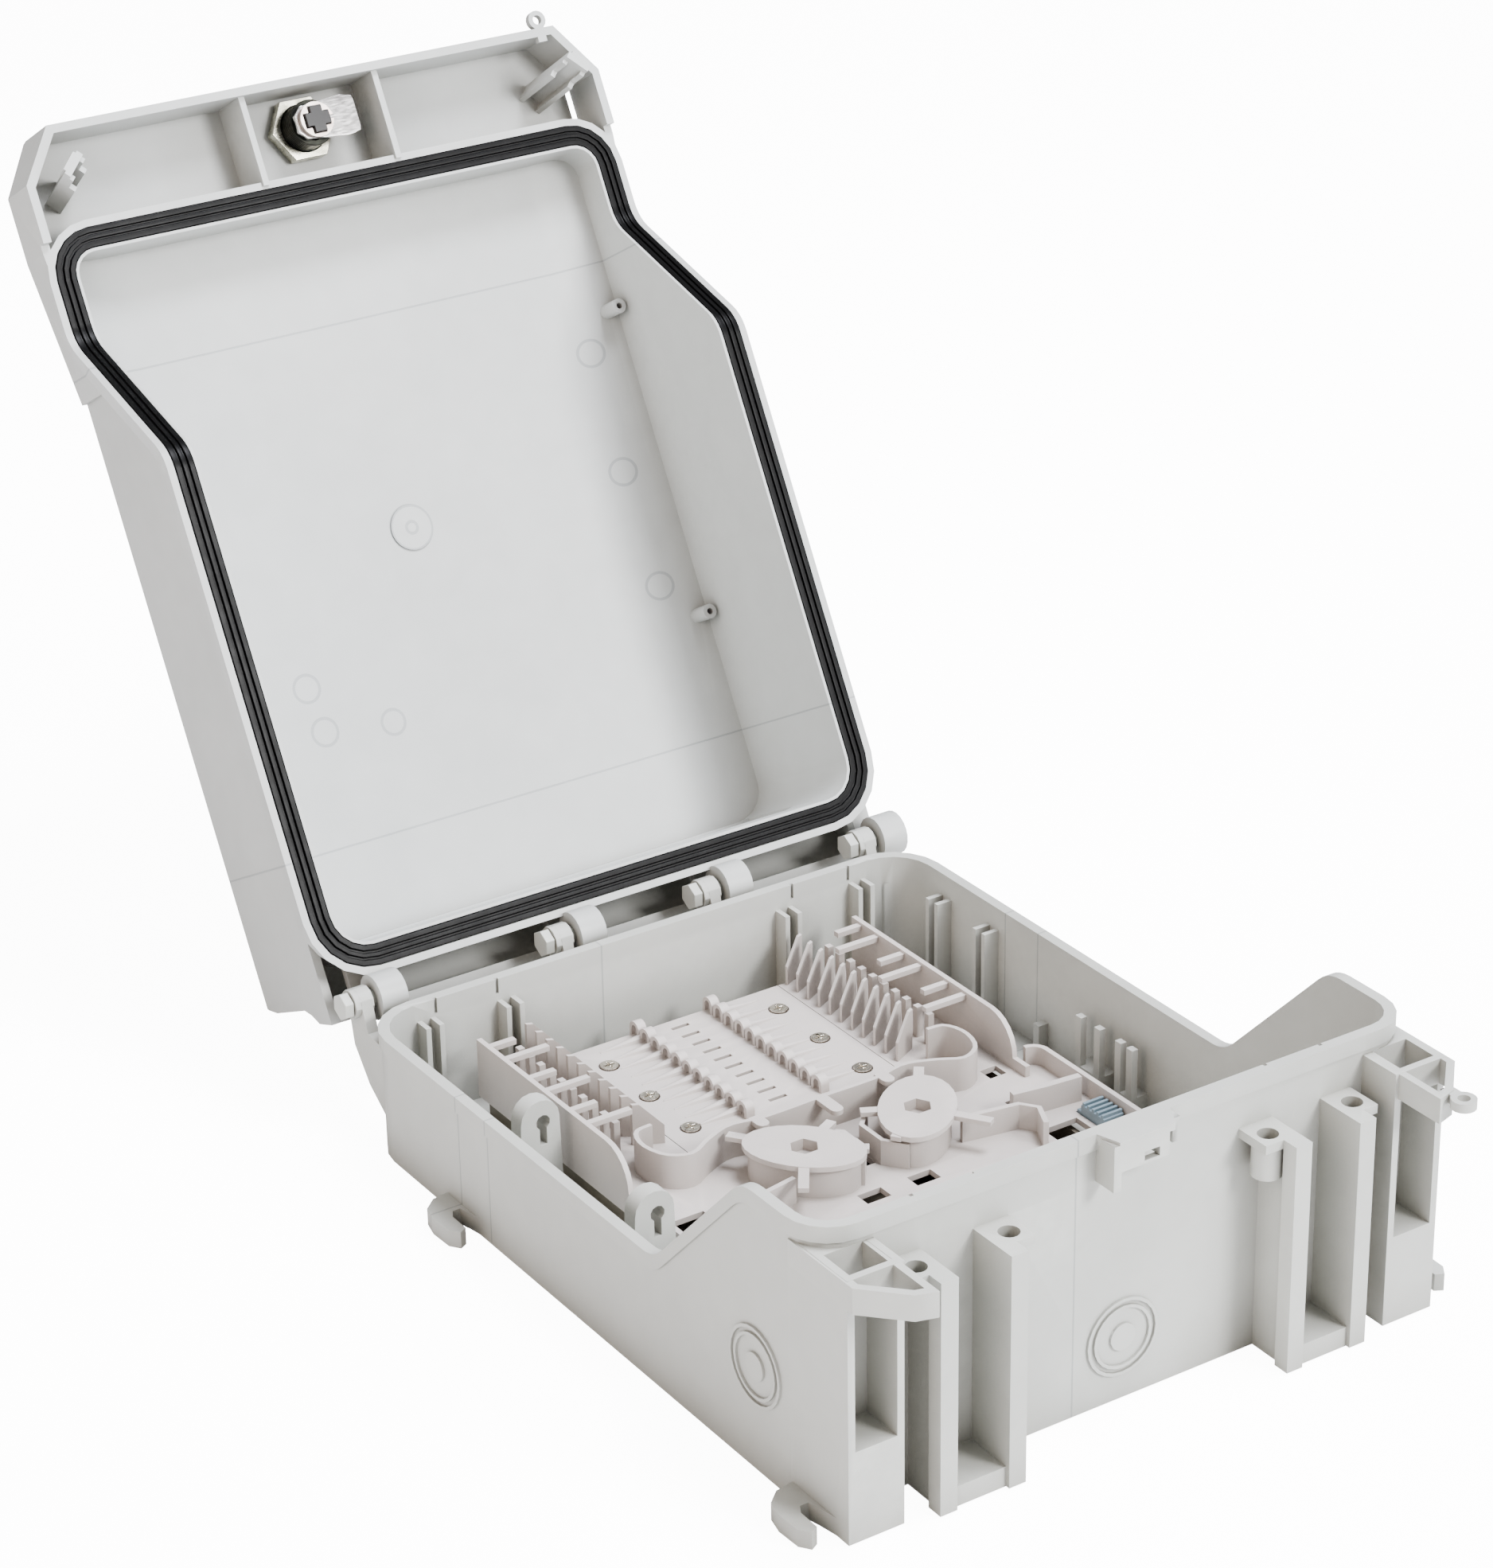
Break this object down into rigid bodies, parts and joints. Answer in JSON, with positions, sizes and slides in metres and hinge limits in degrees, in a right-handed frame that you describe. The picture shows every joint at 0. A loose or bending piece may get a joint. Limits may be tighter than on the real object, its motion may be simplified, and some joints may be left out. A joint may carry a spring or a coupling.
{
  "type": "fibre termination box",
  "caption": "Wall-mounted light grey plastic box, shown open, with a stepped rim, hinged sealed lid, cam lock and a splice tray with spools and comb guides inside.",
  "frame": {"origin": "centre of the tub's flat underside, the face that goes to the wall", "axes": "X across the box, +Y from the cable side to the hinge, +Z out of the wall through the box's depth; the lid stands open"},
  "size_m": [0.2398, 0.5267, 0.296],
  "materials": {
    "shell": "matt moulded light grey",
    "lid_shell": "matt moulded light grey",
    "seal": "matt black rubber",
    "pin_plastic": "satin moulded light grey",
    "nickel": "satin nickel plate",
    "zinc": "bright zinc plate",
    "tray_plastic": "matt moulded warm white",
    "carrier_plastic": "matt moulded warm grey",
    "clip_plastic": "satin moulded blue grey",
    "black_zinc": "black passivated threaded barrel",
    "plug_black": "satin black moulded plug"
  },
  "bodies": {
    "base": {"base_tub": "shell", "tray_carrier": "carrier_plastic", "hinge_pin_1": "pin_plastic", "hinge_pin_2": "pin_plastic", "hinge_pin_3": "pin_plastic", "hinge_pin_4": "pin_plastic"},
    "lid": {"lid_cover": "lid_shell", "lid_gasket": "seal", "lock_body": "black_zinc", "lock_nut": "zinc"},
    "lock_core": {"lock_cam": "zinc", "lock_plug": "plug_black", "lock_retaining_clip": "nickel"},
    "tray": {"tray_body": "tray_plastic", "splice_deck": "tray_plastic", "tray_clip": "clip_plastic", "tray_screw_1": "zinc", "tray_screw_2": "zinc", "tray_screw_3": "zinc", "tray_screw_4": "zinc", "tray_screw_5": "zinc", "tray_screw_6": "zinc"}
  },
  "joints": [
    {"name": "lid_hinge", "type": "hinge", "parent": "base", "child": "lid", "pos_m": [0, 0.1412, 0.0441], "axis": [1, 0, 0], "range_deg": [0, 119.2]},
    {"name": "lock_turn", "type": "hinge", "parent": "lid", "child": "lock_core", "pos_m": [0, 0.3391, 0.2694], "axis": [0, 0.8729, -0.4879], "range_deg": [0, 90]},
    {"name": "tray_hinge", "type": "hinge", "parent": "base", "child": "tray", "pos_m": [0, -0.042, 0.0145], "axis": [-1, 0, 0], "range_deg": [-30, 0]}
  ]
}
